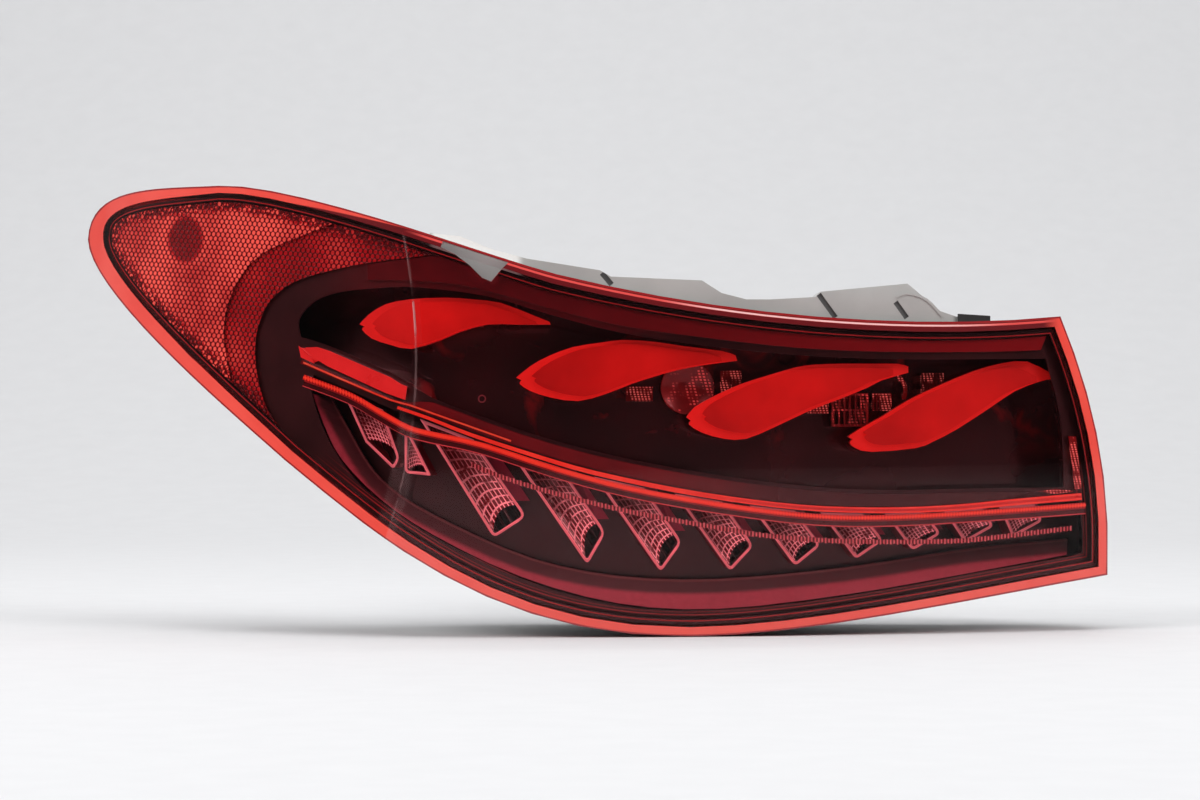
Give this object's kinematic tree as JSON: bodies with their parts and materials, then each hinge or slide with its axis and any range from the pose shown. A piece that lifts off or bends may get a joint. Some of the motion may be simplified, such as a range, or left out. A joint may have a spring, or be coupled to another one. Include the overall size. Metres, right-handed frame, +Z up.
{
  "type": "tail light cluster",
  "caption": "Swept rear lamp cluster for a family car: smoked red lens over light blades, a lit strip and slanting reflector cups, on a plastic housing with rear studs.",
  "frame": {"origin": "midway between the two main fixing studs, in the mounting plane at the back of the lamp", "axes": "+Y along the studs, towards the car body (the lens looks along -Y); +X to the right as the picture shows the lens; +Z up"},
  "size_m": [0.594, 0.2065, 0.2534],
  "materials": {
    "grey_housing": "satin mould-in colour",
    "black_pad": "matt",
    "smoked_red_lens": "clear gloss, red tint",
    "coral_rim": "gloss, translucent red",
    "black_border": "gloss",
    "black_bezel": "gloss",
    "reflex_red": "prismatic",
    "dark_red_trim": "gloss",
    "bar_red": "gloss",
    "accent_red": "gloss",
    "guide_red": "gloss, translucent",
    "strip_red": "gloss, translucent",
    "rod_pink": "fine teeth",
    "chamber_black": "gloss",
    "blade_red": "gloss, translucent",
    "optic_red": "ribbed",
    "reflector_red": "bright",
    "tray_black": "satin",
    "cup_mauve": "satin, metallised",
    "ledge_mauve": "satin",
    "board_green": "coated board",
    "zinc_steel": "zinc plated",
    "white_pin": "satin",
    "foam_black": "closed-cell foam",
    "socket_black": "satin",
    "pin_metal": "plated"
  },
  "bodies": {
    "root": {"housing": "grey_housing", "tray_pad": "black_pad", "outer_lens": "smoked_red_lens", "lens_rim": "coral_rim", "border_frame": "black_border", "bezel": "black_bezel", "reflex_panel": "reflex_red", "upper_trim": "dark_red_trim", "trim_bar": "bar_red", "mid_trim": "dark_red_trim", "accent_strip": "accent_red", "light_guide": "guide_red", "light_strip": "strip_red", "marker_rod": "rod_pink", "chamber": "chamber_black", "blade_1": "blade_red", "blade_2": "blade_red", "blade_3": "blade_red", "blade_4": "blade_red", "ribbed_optics": "optic_red", "bowl_reflectors": "reflector_red", "box_reflector": "reflector_red", "curved_rod": "optic_red", "side_prism": "optic_red", "bank_tray": "tray_black", "reflector_cups": "cup_mauve", "ledge_trim": "ledge_mauve", "blade_board": "board_green", "cup_board": "board_green", "marker_board": "board_green", "main_studs": "zinc_steel", "side_stud": "zinc_steel", "locating_pin": "white_pin", "gasket": "foam_black", "connector_shell": "socket_black", "connector_pins": "pin_metal", "control_unit": "socket_black", "unit_screws": "zinc_steel", "chamber_screws": "zinc_steel", "vent_caps": "socket_black"}
  },
  "joints": []
}
